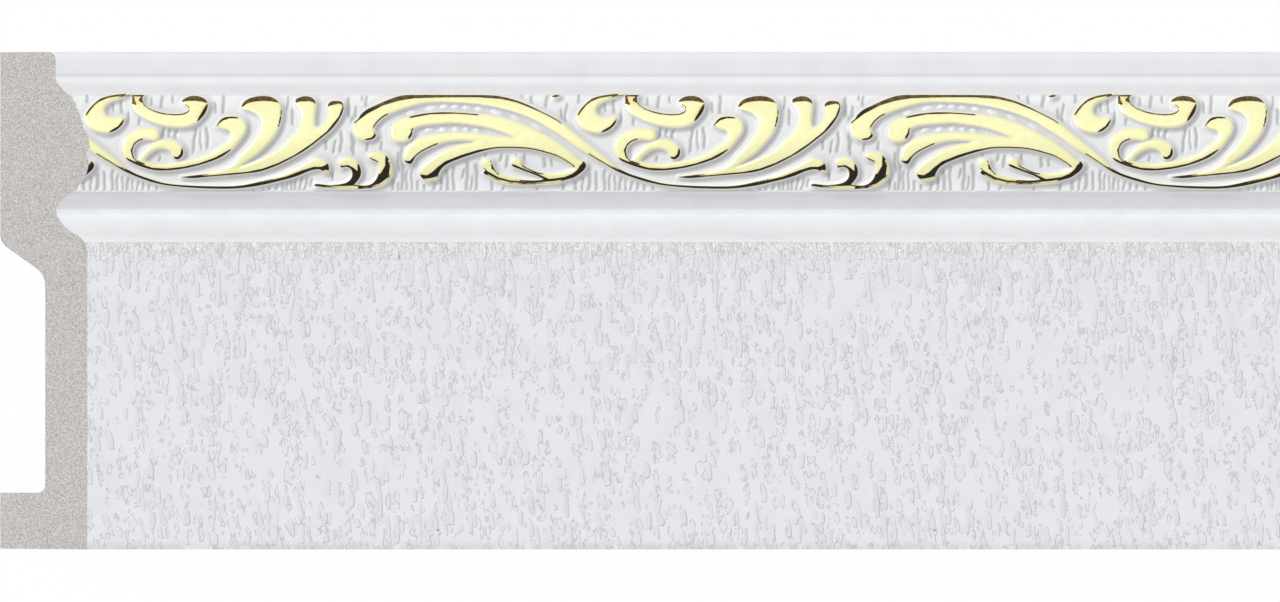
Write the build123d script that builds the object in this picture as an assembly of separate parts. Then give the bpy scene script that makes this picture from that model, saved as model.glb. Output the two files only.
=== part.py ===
from build123d import *
import math
import os

# Skirting board, moulded in one piece from white foamed polystyrene, with a cable channel in its back.
# All sizes are in millimetres. The board lies on its back: its length runs along X, its height along Y
# with the top edge towards +Y, and its depth from the wall runs up along Z.
# The left end is cut to a mitre for an outside corner, and the right end is cut square.

# The whole board
board_length = 2400.0
board_height = 95.0
board_depth = 17.0
mitre_angle = 45.0

# Heights of the members of the front, from the top edge down to the plain face
nose_height = 5.25
slope_height = 3.15
field_height = 18.0
lip_height = 0.3
soffit_height = 3.3
neck_height = 1.1
cove_height = 3.9
shoulder_height = 3.2

# How far each member of the front stands back from the plane of the plain face
nose_set_back = 6.15
field_top_set_back = 3.5
field_lip_set_back = 2.3
neck_set_back = 6.0
shoulder_set_back = 2.0

# How far each curved member leaves the straight line between its two edges
slope_hollow = 0.25
field_bulge = 2.3
soffit_hollow = 0.6
cove_hollow = 0.5
shoulder_bulge = 0.5
nose_radius = 1.6

# The back: a land along the top, a channel for cables and a foot along the bottom
top_land_height = 36.45
foot_height = 10.7
channel_depth = 8.8
channel_slope_angle = 34.7
channel_mouth_radius = 3.0
channel_top_radius = 4.3
channel_foot_radius = 1.7


def at(height, depth):
    """A point of the section, from its height over the bottom edge and its depth from the wall."""
    return (height - board_height / 2, depth)


def back_line():
    """The section's line from the bottom of the plain face, round the back, to the foot of the nose."""
    mouth_height = board_height - top_land_height
    channel_top_height = mouth_height - channel_depth * math.tan(math.radians(channel_slope_angle))
    nose_depth = board_depth - nose_set_back
    corners = [
        (at(0, board_depth), None),
        (at(0, 0), 0),
        (at(foot_height, 0), 0),
        (at(foot_height, channel_depth), channel_foot_radius),
        (at(channel_top_height, channel_depth), channel_top_radius),
        (at(mouth_height, 0), channel_mouth_radius),
        (at(board_height, 0), 0),
        (at(board_height, nose_depth), nose_radius),
        (at(board_height - nose_height, nose_depth), None),
    ]
    points = [point for point, radius in corners]
    radii = [radius for point, radius in corners if radius is not None]
    return FilletPolyline(*points, radius=radii)


def front_line(nose_foot, face_foot):
    """The section's line from the foot of the nose, down the moulded members, to the bottom edge."""
    height = board_height - nose_height - slope_height
    field_top = at(height, board_depth - field_top_set_back)
    height -= field_height
    field_lip = at(height, board_depth - field_lip_set_back)
    height -= lip_height
    soffit_edge = at(height, board_depth - field_lip_set_back)
    height -= soffit_height
    neck_top = at(height, board_depth - neck_set_back)
    height -= neck_height
    neck_foot = at(height, board_depth - neck_set_back)
    height -= cove_height
    shoulder_top = at(height, board_depth - shoulder_set_back)
    height -= shoulder_height
    face_top = at(height, board_depth)

    SagittaArc(nose_foot, field_top, slope_hollow)
    SagittaArc(field_top, field_lip, -field_bulge)
    Line(field_lip, soffit_edge)
    SagittaArc(soffit_edge, neck_top, soffit_hollow)
    Line(neck_top, neck_foot)
    SagittaArc(neck_foot, shoulder_top, cove_hollow)
    SagittaArc(shoulder_top, face_top, -shoulder_bulge)
    Line(face_top, face_foot)


def skirting_board():
    """The moulded board, extruded along its length and cut to a mitre at its left end."""
    left_end = -board_length / 2
    with BuildPart() as board:
        with BuildSketch(Plane.YZ.offset(left_end)):
            with BuildLine():
                back = back_line()
                front_line(back @ 1, back @ 0)
            make_face()
        extrude(amount=board_length)
        slant = math.radians(mitre_angle)
        mitre = Plane(
            origin=(left_end, 0, 0),
            x_dir=(0, 1, 0),
            z_dir=(math.cos(slant), 0, -math.sin(slant)),
        )
        split(bisect_by=mitre, keep=Keep.TOP)
    return board.part


os.makedirs("parts", exist_ok=True)
export_step(skirting_board(), "parts/skirting_board.step")
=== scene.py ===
import math
import random

import bmesh
import bpy
import numpy as np
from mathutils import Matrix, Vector


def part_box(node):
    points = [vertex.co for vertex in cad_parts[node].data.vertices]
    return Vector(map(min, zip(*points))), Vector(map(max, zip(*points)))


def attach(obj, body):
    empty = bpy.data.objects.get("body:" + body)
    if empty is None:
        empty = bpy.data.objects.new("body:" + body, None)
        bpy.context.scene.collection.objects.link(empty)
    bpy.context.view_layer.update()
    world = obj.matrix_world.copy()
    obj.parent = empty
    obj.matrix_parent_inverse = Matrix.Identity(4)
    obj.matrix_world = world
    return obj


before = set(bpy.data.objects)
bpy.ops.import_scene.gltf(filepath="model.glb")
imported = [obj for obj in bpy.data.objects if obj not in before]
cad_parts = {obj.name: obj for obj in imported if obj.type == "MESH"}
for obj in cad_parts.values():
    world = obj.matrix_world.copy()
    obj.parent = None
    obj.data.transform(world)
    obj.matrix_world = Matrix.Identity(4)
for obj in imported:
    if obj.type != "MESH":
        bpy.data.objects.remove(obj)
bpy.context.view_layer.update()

bl_info = {
    "name": "Gilded skirting board",
    "version": (1, 0, 0),
    "blender": (4, 5, 0),
    "location": "3D View > Sidebar > Skirting",
    "description": "Dresses a moulded skirting board with its scroll band, its dripped face and its finishes",
    "category": "Object",
}

MM = 0.001
BOARD_LOW, BOARD_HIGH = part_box("skirting_board")

# Where the bottom edge lies up the wall, and the board's height, in millimetres
FOOT = BOARD_LOW.y / MM
BOARD_HEIGHT = (BOARD_HIGH.y - BOARD_LOW.y) / MM

# Heights of the members of the front over the bottom edge, in millimetres
LIP_HEIGHT = 68.6
FACE_TOP = 56.8
FACE_TEXTURE_TOP = 58.6
# Where a dark line is painted as shade under the nose's lower edge
PAINTED_SHADE_LINE_HEIGHT = 90.45

# Height of the band's field over its lip, in millimetres
FIELD_HEIGHT = 18.0

# Arcs of the section, in millimetres: the height and the depth of the middle, and the radius.
# The field's arc counts its height from the lip, and the shoulder's from the bottom edge.
FIELD_ARC = (7.9, -2.40, 18.84)
SHOULDER_ARC = (56.65, 13.20, 3.80)

# The cable channel in the back with a little room round it: its heights over the bottom edge, and its depth
CHANNEL_FOOT = 10.5
CHANNEL_HEAD = 59.0
CHANNEL_DEPTH = 8.95

# What lies further out of the wall than this is the plain face, in millimetres
FACE_DEPTH = 15.9

# Each kind of relief is cut off this far outside the board's own ends, so that no two cut faces coincide
CUT_PROUD = {"band_ground": 0.01 * MM, "gilded_scroll": 0.03 * MM, "face_drips": 0.02 * MM}

COAT_ROUGHNESS = 0.42
FOAM_ROUGHNESS = 0.85

# Painted light and shade on the coat, at heights over the bottom edge in millimetres: how bright it is painted
# there, and how far its tint leans to yellow
PAINTED_LIGHT_AND_TINT_LEVELS = (
    (0.0, 0.935, 0.2), (4.0, 0.915, 0.3), (52.0, 0.91, 0.3), (55.5, 0.94, 0.5), (58.55, 0.965, 0.8),
    (58.65, 0.94, 1.0), (61.0, 0.91, 1.2),
    (62.3, 0.91, 0.4), (63.2, 0.94, -0.6), (64.0, 0.97, -0.6), (64.5, 0.91, 0.2), (65.2, 0.86, 0.8),
    (65.7, 0.85, 0.8), (66.6, 0.90, 0.8), (67.4, 1.04, 1.0), (67.9, 1.09, 1.2), (68.6, 1.15, 1.4),
    (70.5, 1.06, 1.4), (74.0, 0.96, 1.8), (84.0, 0.925, 1.8), (86.5, 1.01, 2.0), (86.9, 0.87, 1.4),
    (87.3, 0.83, 1.4), (88.9, 0.855, 0.4),
    (89.1, 0.935, 0.2), (90.2, 0.965, 0.2), (90.5, 0.86, 0.2), (91.5, 0.905, 0.4), (93.0, 0.915, 0.0),
    (94.2, 0.905, 0.0), (95.0, 0.88, 1.0),
)

# How far the roller's print lies from its even repeat, at distances from the mitred end, in millimetres
PRINT_CREEP = (
    (20.0, 0.95), (24.0, 0.80), (29.0, 0.20), (31.0, 0.0),
    (209.0, 0.0), (215.0, -0.8), (228.0, -0.8), (236.0, -1.3), (243.0, -1.6),
)

# The scroll is drawn in millimetres: u runs along the board from the start of a repeat, and v up from the
# field's lip. Each leaf is a closed outline of smooth runs that meet at its corners.
STEM = (
    ((-0.4, 12.0), (-0.1, 13.0), (0.5, 13.45), (0.95, 14.2), (2.0, 15.2), (3.6, 16.0), (6.4, 17.25),
     (8.9, 18.0), (12.0, 18.12), (17.0, 18.12), (23.3, 18.1), (27.0, 17.95), (30.0, 17.3), (32.5, 16.4),
     (36.1, 14.65), (38.8, 13.2), (41.4, 11.15), (45.0, 8.2), (48.0, 5.85), (50.1, 4.15), (52.2, 3.1),
     (54.4, 2.36), (58.6, 1.24), (62.8, 0.84), (67.5, 0.68), (72.0, 0.73), (75.0, 1.2), (80.0, 2.57),
     (83.0, 3.85), (85.8, 5.3), (86.8, 5.9), (87.7, 5.96), (88.7, 5.65), (89.5, 5.0), (89.76, 4.16),
     (89.6, 3.4)),
    ((88.96, 3.4), (88.1, 3.9), (86.5, 3.78), (83.4, 2.57), (80.0, 1.66), (76.2, 0.81), (72.0, 0.3),
     (67.0, 0.28), (62.8, 0.5), (58.6, 0.93), (56.5, 1.35), (54.0, 2.04), (50.1, 3.5), (48.0, 4.7),
     (45.0, 6.5), (42.0, 8.4), (40.0, 9.9), (36.7, 12.0), (35.0, 13.07), (32.5, 14.2), (30.0, 15.08),
     (26.1, 16.07), (23.3, 16.5), (18.0, 16.88), (13.6, 16.8), (10.0, 15.93), (7.2, 14.87), (5.3, 13.9),
     (4.2, 12.9), (3.5, 11.7), (3.7, 11.05), (3.9, 10.6), (3.8, 10.1), (3.2, 9.67), (2.1, 9.5),
     (1.1, 9.65), (0.3, 10.1), (-0.2, 10.95)),
)
PLUME = (
    ((6.95, 11.2), (7.2, 12.2), (7.7, 12.85), (8.7, 13.4), (11.45, 14.23), (14.8, 14.72), (17.6, 14.8),
     (22.0, 14.55), (27.0, 13.96), (31.2, 12.75), (35.0, 11.05), (38.0, 9.36), (40.0, 7.98), (41.6, 6.7),
     (42.8, 5.65), (43.7, 5.3), (44.0, 4.6), (43.7, 3.95), (42.9, 3.2), (41.6, 2.36), (40.0, 1.9),
     (38.8, 1.4), (36.7, 1.2), (35.0, 1.1), (32.5, 1.0), (30.0, 1.1), (28.0, 1.4), (26.5, 2.04),
     (25.0, 2.8), (24.4, 3.3)),
    ((24.75, 3.75), (24.2, 4.4), (24.15, 5.1), (24.6, 5.75), (25.3, 5.9), (25.9, 5.6), (26.1, 4.9),
     (26.5, 4.0), (27.2, 3.2), (28.2, 2.8), (30.0, 2.26), (32.5, 1.83), (35.0, 1.83), (36.0, 2.04)),
    ((34.6, 2.75), (32.5, 3.55), (30.4, 4.35)),
    ((29.85, 4.7), (29.75, 5.3), (30.2, 5.95), (31.0, 6.0), (31.55, 5.5), (31.8, 4.8), (33.1, 4.06),
     (34.6, 3.4), (36.7, 3.0), (38.8, 3.1), (40.5, 3.4), (41.6, 3.85)),
    ((41.8, 4.16), (41.2, 4.8), (40.0, 5.6), (38.4, 6.45), (36.7, 7.0), (33.5, 7.77), (30.0, 8.0),
     (26.5, 7.9), (22.9, 7.0), (20.0, 6.03), (17.6, 5.0), (16.5, 4.16), (15.85, 3.1)),
    ((15.6, 2.15), (14.8, 1.94), (13.8, 1.7), (13.0, 2.04), (12.5, 2.57), (12.3, 3.3), (12.7, 4.16),
     (13.8, 5.2), (16.5, 7.0), (20.0, 8.4), (22.0, 8.8), (23.1, 9.1)),
    ((22.0, 9.36), (20.0, 9.5), (16.5, 9.0), (13.1, 7.55), (12.1, 6.9), (11.45, 6.3), (11.0, 5.5)),
    ((10.6, 4.97), (9.5, 5.4), (9.35, 6.3), (9.5, 7.1), (10.0, 8.1), (12.0, 9.57), (15.0, 10.5),
     (19.0, 10.9), (23.3, 10.7), (28.2, 10.0), (31.0, 9.84)),
    ((28.0, 11.05), (25.0, 12.0), (22.0, 12.5), (19.0, 12.85), (15.0, 12.6), (12.3, 12.26),
     (11.45, 11.9), (10.9, 11.5), (10.85, 10.7), (9.96, 9.46), (8.9, 9.2), (7.84, 9.3), (7.1, 9.9)),
)
C_LEAF = (
    ((42.3, 13.9), (42.5, 14.55), (43.1, 15.5), (44.1, 16.56), (45.0, 17.3), (46.3, 17.8), (49.0, 18.25),
     (51.3, 18.36)),
    ((50.1, 18.05), (49.0, 17.6), (46.9, 16.8), (46.1, 16.1), (45.8, 15.2), (46.3, 14.2), (47.5, 13.7),
     (49.0, 13.85), (49.7, 13.8), (49.8, 13.3), (49.3, 12.3), (48.0, 11.3), (46.5, 10.9), (45.2, 11.05),
     (43.9, 11.5), (42.9, 12.2), (42.4, 13.07)),
)
S_LEAF = (
    ((54.0, 18.15),),
    ((53.7, 17.6), (53.9, 16.7), (54.9, 15.75), (57.5, 14.8), (60.0, 14.45), (62.0, 14.6), (63.0, 15.2),
     (62.9, 15.9)),
    ((61.9, 16.56), (61.7, 16.95), (62.2, 17.45), (63.2, 17.85), (64.6, 17.9), (65.8, 17.5), (66.5, 16.8),
     (66.6, 15.9), (66.2, 14.8), (65.3, 13.6), (63.9, 12.5), (62.6, 12.1), (61.1, 12.0), (58.6, 12.25),
     (56.0, 12.96), (53.1, 14.4), (51.9, 15.5), (51.5, 16.35)),
    ((51.5, 18.1),),
)
DOUBLE_C = (
    ((57.3, 10.4), (57.1, 11.16), (56.5, 11.6), (55.4, 11.73), (52.7, 11.4), (51.2, 10.7), (50.1, 9.9),
     (49.6, 8.8), (49.6, 7.55), (50.0, 6.4), (50.6, 5.7), (51.8, 5.1), (54.4, 4.2), (56.9, 3.74),
     (60.7, 3.9), (65.0, 4.76), (69.2, 6.3), (71.3, 7.87), (72.85, 9.67), (73.8, 11.2), (73.8, 12.7),
     (72.85, 13.66), (70.8, 13.96), (69.4, 13.6), (68.3, 12.3)),
    ((69.6, 11.7), (70.7, 11.4), (71.2, 10.6), (70.7, 9.4), (69.2, 8.2), (67.1, 6.8), (65.0, 6.0),
     (60.7, 5.1), (58.6, 4.8), (56.5, 4.84), (54.1, 5.5)),
    ((54.8, 6.5), (56.3, 7.6), (57.6, 7.95), (58.8, 7.8), (59.7, 7.2), (60.0, 6.5)),
    ((60.3, 6.0), (60.9, 5.85), (61.6, 6.25), (61.95, 7.1), (61.6, 8.3), (60.6, 9.1), (59.0, 9.5),
     (57.3, 9.3), (55.4, 8.3), (53.6, 6.7), (52.6, 5.4)),
    ((51.9, 6.3), (51.6, 7.4), (52.0, 8.6), (53.1, 9.4), (54.5, 9.7), (56.3, 9.5), (57.05, 9.7)),
)
TWIN_LEAF = (
    ((73.1, 15.8), (73.3, 16.45), (73.9, 17.1), (75.0, 17.6), (76.8, 17.92), (78.8, 17.7), (79.9, 17.0),
     (80.6, 15.9), (80.7, 14.5), (80.5, 13.07), (79.6, 10.8), (78.0, 8.8), (76.2, 7.0), (73.9, 5.4),
     (72.5, 4.27)),
    ((74.1, 4.76), (77.1, 5.96), (80.0, 7.55), (82.2, 9.57), (83.9, 11.4), (84.5, 12.7), (84.6, 14.0),
     (84.2, 15.6), (83.45, 16.67)),
    ((83.4, 17.2), (83.9, 17.56), (84.9, 17.86), (86.1, 17.75), (87.0, 17.1), (87.15, 15.8),
     (86.95, 14.0), (86.95, 12.8), (87.15, 12.1), (87.7, 11.96), (88.7, 12.4), (89.5, 13.5),
     (89.8, 14.97), (89.55, 16.25)),
    ((90.0, 16.8), (91.0, 16.98), (92.1, 16.8), (92.5, 16.1), (92.35, 14.9), (91.5, 13.2), (90.0, 11.37),
     (87.7, 9.46), (85.0, 7.45), (82.6, 6.07), (80.0, 4.76), (76.7, 3.57), (73.3, 3.1), (67.1, 2.57),
     (63.7, 2.26), (61.5, 2.45)),
    ((66.0, 3.0), (68.1, 3.4), (70.0, 4.06), (71.3, 4.8), (72.2, 5.6), (72.6, 6.3), (74.3, 8.0),
     (76.2, 10.5), (76.9, 12.2), (76.8, 13.6), (76.0, 14.55), (75.0, 15.08), (73.7, 15.45)),
)
HOOKS = (
    ((91.7, 5.2), (92.2, 5.8), (93.4, 6.03), (94.5, 5.9), (95.2, 5.2), (95.8, 4.0), (95.8, 2.8),
     (95.3, 1.9), (94.5, 1.0)),
    ((96.7, 0.8), (98.0, 1.24), (98.8, 2.04), (99.2, 2.9), (99.35, 4.1), (99.1, 5.2), (97.9, 5.8)),
    ((97.4, 6.2), (97.5, 6.8), (98.4, 7.15), (99.6, 7.05), (100.6, 6.6), (101.3, 5.7), (101.75, 4.5),
     (101.75, 3.2), (101.3, 2.2), (100.4, 1.25), (98.8, 0.6), (96.5, 0.22), (94.0, 0.2), (90.0, 0.35)),
    ((87.0, 0.8),),
    ((87.0, 1.05), (90.0, 0.85)),
    ((92.3, 1.15), (93.4, 1.6), (94.1, 2.3), (94.25, 3.1), (94.0, 3.95), (93.2, 4.4), (92.1, 4.27)),
)
FLECK = (((37.5, 17.75), (38.0, 18.1), (38.8, 18.12), (38.7, 17.85), (38.1, 17.62)),)
LEAVES = (STEM, PLUME, C_LEAF, S_LEAF, DOUBLE_C, TWIN_LEAF, HOOKS, FLECK)

# Painted dark reflections: strokes where the foil turns steeply away, painted near black or brown as mirrored
# dark surroundings: (u, v, half of the stroke's width)
PAINTED_DARK_REFLECTIONS = (
    ((-0.3, 12.9, 0.05), (0.57, 13.5, 0.15), (2.1, 14.75, 0.22), (5.1, 16.5, 0.36), (8.2, 17.5, 0.42),
     (11.2, 17.9, 0.34), (17.3, 17.98, 0.24), (23.4, 17.98, 0.24), (27.9, 17.7, 0.28), (31.0, 17.0, 0.3),
     (34.0, 15.75, 0.24), (37.0, 14.3, 0.17), (39.2, 13.0, 0.06)),
    ((6.0, 14.35, 0.03), (4.7, 13.35, 0.1), (3.65, 12.0, 0.1)),
    ((3.85, 10.6, 0.14), (3.2, 9.8, 0.14), (2.2, 9.65, 0.08)),
    ((10.6, 13.85, 0.05), (14.3, 14.6, 0.1), (19.7, 14.72, 0.1), (23.2, 14.4, 0.04)),
    ((10.85, 11.5, 0.06), (10.75, 10.8, 0.14), (10.2, 10.1, 0.06)),
    ((9.7, 5.3, 0.14), (10.6, 5.25, 0.26), (11.25, 6.0, 0.26), (12.7, 7.3, 0.18), (15.4, 8.7, 0.07)),
    ((12.5, 2.7, 0.2), (13.7, 2.45, 0.26), (15.0, 2.95, 0.5), (15.9, 3.8, 0.5), (17.3, 5.05, 0.36),
     (20.3, 6.35, 0.26), (23.4, 7.35, 0.19), (26.4, 7.95, 0.12), (32.5, 7.9, 0.11), (35.6, 7.35, 0.14),
     (38.6, 6.35, 0.17), (41.6, 4.5, 0.16)),
    ((43.7, 5.0, 0.3), (43.4, 4.3, 0.6), (42.7, 3.5, 0.42), (41.6, 2.85, 0.22), (40.0, 2.25, 0.15),
     (38.0, 1.95, 0.17), (36.2, 1.8, 0.18), (34.0, 1.5, 0.12), (32.0, 1.45, 0.1), (29.5, 1.65, 0.1),
     (27.3, 2.2, 0.13), (25.6, 3.1, 0.16), (24.6, 3.6, 0.24)),
    ((26.0, 5.2, 0.1), (26.3, 4.2, 0.26), (27.2, 3.3, 0.12)),
    ((30.2, 4.6, 0.2), (32.5, 3.6, 0.2), (35.2, 2.6, 0.18), (36.6, 1.95, 0.2)),
    ((31.8, 4.9, 0.06), (33.7, 3.75, 0.09), (35.6, 3.2, 0.03)),
    ((100.65, 6.2, 0.06), (100.95, 4.5, 0.41), (100.43, 2.92, 0.75), (99.3, 1.72, 0.46), (97.6, 0.85, 0.2),
     (95.5, 0.58, 0.1)),
    ((97.7, 5.85, 0.08), (98.8, 5.4, 0.1)),
    ((92.2, 4.4, 0.14), (93.4, 4.45, 0.22), (94.3, 3.9, 0.3), (94.9, 2.9, 0.7), (94.6, 1.8, 0.6),
     (93.4, 1.15, 0.2)),
    ((95.4, 4.6, 0.14), (95.6, 3.2, 0.3)),
    ((86.9, 0.95, 0.1), (90.0, 0.8, 0.04), (92.6, 0.9, 0.1), (94.6, 1.2, 0.32), (96.6, 0.85, 0.22)),
    ((44.7, 6.7, 0.05), (46.7, 5.42, 0.12), (49.8, 3.75, 0.14), (52.8, 2.5, 0.15), (55.9, 1.6, 0.15),
     (62.0, 0.62, 0.12), (68.0, 0.35, 0.12), (72.6, 0.5, 0.16), (77.2, 1.2, 0.2), (81.7, 2.25, 0.26),
     (84.8, 3.4, 0.3), (86.9, 4.1, 0.24), (88.4, 4.1, 0.24), (89.3, 4.3, 0.45)),
    ((42.5, 14.4, 0.1), (43.1, 15.3, 0.14), (43.9, 16.3, 0.17), (44.8, 17.05, 0.18), (46.5, 17.75, 0.15),
     (49.8, 18.2, 0.08)),
    ((47.3, 11.2, 0.1), (48.8, 12.0, 0.16), (49.7, 13.2, 0.1)),
    ((51.6, 18.0, 0.15), (51.8, 16.9, 0.25), (52.2, 16.4, 0.15)),
    ((51.8, 18.05, 0.12), (54.0, 18.0, 0.14), (53.3, 17.2, 0.3), (53.9, 16.7, 0.14), (55.4, 15.7, 0.1),
     (57.5, 14.9, 0.09), (60.4, 14.6, 0.1), (62.2, 14.8, 0.16), (62.9, 15.5, 0.16), (62.6, 16.1, 0.1)),
    ((61.9, 17.0, 0.12), (62.8, 17.4, 0.34), (64.2, 17.5, 0.42), (65.3, 17.3, 0.36), (66.3, 16.8, 0.12)),
    ((66.4, 16.1, 0.12), (65.8, 14.7, 0.28), (64.9, 13.5, 0.1)),
    ((61.7, 7.6, 0.05), (61.6, 6.7, 0.16), (61.0, 6.1, 0.14), (60.3, 6.15, 0.1)),
    ((53.6, 9.6, 0.04), (52.0, 8.7, 0.12), (51.45, 7.5, 0.18), (51.8, 6.3, 0.14), (52.9, 5.3, 0.12),
     (54.2, 4.9, 0.06)),
    ((50.6, 5.9, 0.06), (52.8, 4.9, 0.12), (55.9, 4.0, 0.15), (58.9, 3.85, 0.15), (62.0, 4.2, 0.15),
     (65.0, 4.85, 0.15), (68.0, 5.95, 0.12), (70.8, 7.55, 0.04)),
    ((68.5, 12.5, 0.08), (69.4, 13.4, 0.14), (70.8, 13.85, 0.12), (72.2, 13.75, 0.04)),
    ((73.2, 16.0, 0.12), (74.1, 16.85, 0.26), (75.6, 17.35, 0.42), (77.2, 17.5, 0.45), (78.7, 17.35, 0.38),
     (79.8, 16.9, 0.12)),
    ((80.6, 15.6, 0.03), (80.55, 14.0, 0.07), (80.2, 12.4, 0.03)),
    ((83.6, 16.9, 0.14), (84.5, 17.35, 0.4), (86.0, 17.4, 0.4), (86.9, 16.95, 0.2)),
    ((89.7, 16.2, 0.12), (90.5, 16.55, 0.26), (91.7, 16.75, 0.22), (92.4, 16.4, 0.1)),
    ((92.4, 15.6, 0.08), (91.8, 13.9, 0.12), (89.5, 11.0, 0.15), (86.5, 8.6, 0.16), (83.3, 6.45, 0.17),
     (80.2, 4.9, 0.2), (77.2, 3.8, 0.2), (74.1, 3.2, 0.17), (71.0, 2.95, 0.15), (68.0, 2.65, 0.13),
     (65.0, 2.45, 0.13), (61.4, 2.5, 0.12)),
    ((37.5, 18.1, 0.12), (38.9, 18.15, 0.12)),
)

# Foil with a warmer tint, drawn in the same way
WARM_FOIL = (
    ((0.0, 12.6, 0.3), (-0.2, 11.4, 0.2)),
    ((7.4, 12.0, 0.3), (7.3, 10.6, 0.2)),
    ((42.6, 13.8, 0.25), (42.8, 14.6, 0.1)),
    ((76.9, 13.4, 0.15), (76.6, 12.0, 0.1), (75.2, 9.4, 0.1)),
    ((84.6, 13.9, 0.15), (84.3, 12.0, 0.1)),
    ((89.7, 15.0, 0.15), (89.4, 13.6, 0.1)),
    ((52.4, 17.6, 0.3), (53.0, 16.6, 0.2)),
    ((65.9, 15.6, 0.25), (64.8, 14.0, 0.2)),
)

# Grooves of the crackled ground: (u at the top, v at the top, u at the foot, v at the foot, width)
GROOVES = (
    (-0.5, 15.0, -0.3, 5.2, 0.4), (1.5, 18.2, 1.4, 16.9, 0.35), (2.3, 18.3, 2.1, 15.6, 0.4),
    (2.5, 9.2, 2.3, 7.2, 0.4), (5.2, 9.4, 5.0, 7.3, 0.4), (9.0, 8.8, 9.05, -0.4, 0.55),
    (8.2, 7.6, 8.5, 3.0, 0.4), (7.2, 2.4, 7.0, -0.4, 0.5), (8.2, 1.6, 8.1, -0.4, 0.45),
    (9.9, 4.0, 9.8, -0.4, 0.45), (12.1, 2.0, 11.9, -0.4, 0.4), (13.3, 1.2, 13.4, -0.4, 0.4),
    (15.2, 1.9, 15.1, -0.4, 0.5), (16.4, 2.7, 16.3, -0.4, 0.4), (17.7, 4.2, 17.5, -0.4, 0.55),
    (18.8, 4.8, 18.8, -0.4, 0.45), (20.7, 4.2, 20.5, 1.9, 0.4), (21.3, 5.9, 21.4, -0.4, 0.5),
    (22.2, 3.0, 22.2, -0.4, 0.35), (23.2, 5.4, 23.0, -0.4, 0.5), (27.9, 6.9, 27.7, 5.2, 0.45),
    (29.0, 6.9, 28.8, 3.8, 0.35), (32.3, 6.9, 32.1, 5.4, 0.4), (36.0, 6.3, 36.1, 4.0, 0.5),
    (37.6, 6.0, 37.5, 4.2, 0.35), (28.3, 1.2, 28.2, -0.4, 0.35), (26.0, 2.0, 26.0, -0.4, 0.4),
    (34.6, 0.9, 34.6, -0.4, 0.35), (39.8, 1.2, 39.7, -0.4, 0.4), (42.2, 1.8, 42.1, -0.4, 0.5),
    (43.4, 2.6, 43.5, -0.4, 0.35), (44.7, 3.4, 44.6, -0.4, 0.55), (46.0, 3.9, 45.9, -0.4, 0.4),
    (33.6, 18.2, 33.9, 16.2, 0.45), (36.6, 18.3, 36.5, 15.5, 0.5), (39.5, 15.8, 39.3, 12.0, 0.45),
    (40.4, 17.0, 40.1, 12.4, 0.4), (42.6, 18.5, 42.5, 16.4, 0.45), (31.8, 18.4, 32.0, 17.4, 0.35),
    (47.6, 17.4, 47.7, 14.6, 0.35), (49.5, 17.4, 49.3, 14.4, 0.45), (50.9, 15.2, 50.6, 12.4, 0.35),
    (53.2, 14.0, 53.0, 12.2, 0.4), (57.9, 18.3, 57.6, 15.4, 0.5), (57.6, 6.6, 57.6, 5.3, 0.4),
    (58.4, 12.1, 58.2, 10.0, 0.4), (59.5, 12.0, 59.4, 9.8, 0.4), (60.7, 12.0, 60.5, 9.2, 0.5),
    (64.3, 12.0, 64.0, 6.4, 0.5), (66.4, 12.4, 66.7, 7.4, 0.5), (69.7, 18.5, 69.4, 14.2, 0.5),
    (68.0, 17.0, 68.1, 14.4, 0.4), (60.0, 18.2, 60.2, 16.4, 0.35), (82.9, 15.8, 82.7, 12.0, 0.5),
    (81.9, 18.2, 82.0, 15.0, 0.35), (89.2, 9.6, 89.4, 7.4, 0.4), (92.2, 11.6, 92.0, 6.6, 0.5),
    (94.3, 12.0, 94.0, 6.9, 0.4), (93.7, 18.2, 93.5, 13.4, 0.45), (47.7, 4.2, 47.6, -0.4, 0.5),
    (48.7, 3.3, 48.5, -0.4, 0.4), (50.7, 2.7, 50.6, -0.4, 0.55), (52.8, 1.9, 52.7, -0.4, 0.4),
    (53.8, 1.6, 53.8, -0.4, 0.4), (55.1, 1.2, 55.0, -0.4, 0.4), (56.8, 1.0, 56.8, -0.4, 0.4),
    (75.3, 0.9, 75.3, -0.4, 0.35), (77.2, 1.0, 77.3, -0.4, 0.35), (78.6, 1.2, 78.5, -0.4, 0.4),
    (79.8, 1.5, 79.7, -0.4, 0.4), (80.8, 1.7, 80.9, -0.4, 0.4), (81.8, 1.9, 81.6, -0.4, 0.4),
    (82.7, 2.2, 82.6, -0.4, 0.4), (83.7, 2.6, 83.3, -0.4, 0.4), (84.6, 2.7, 84.3, -0.4, 0.4),
    (85.6, 2.6, 85.1, -0.4, 0.4), (86.5, 2.4, 86.1, 0.4, 0.35), (90.6, 3.4, 90.4, 1.6, 0.35),
    (49.7, 3.0, 49.6, -0.4, 0.35), (51.8, 2.3, 51.6, -0.4, 0.35), (94.9, 16.4, 95.1, 12.6, 0.35),
    (90.9, 9.8, 90.7, 6.6, 0.35), (55.8, 17.9, 55.6, 15.9, 0.35), (65.4, 11.8, 65.3, 7.2, 0.3),
    (10.9, 4.2, 10.8, -0.4, 0.35), (25.0, 7.3, 24.8, 6.0, 0.35), (30.9, 6.9, 30.7, 5.6, 0.3),
)

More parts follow.
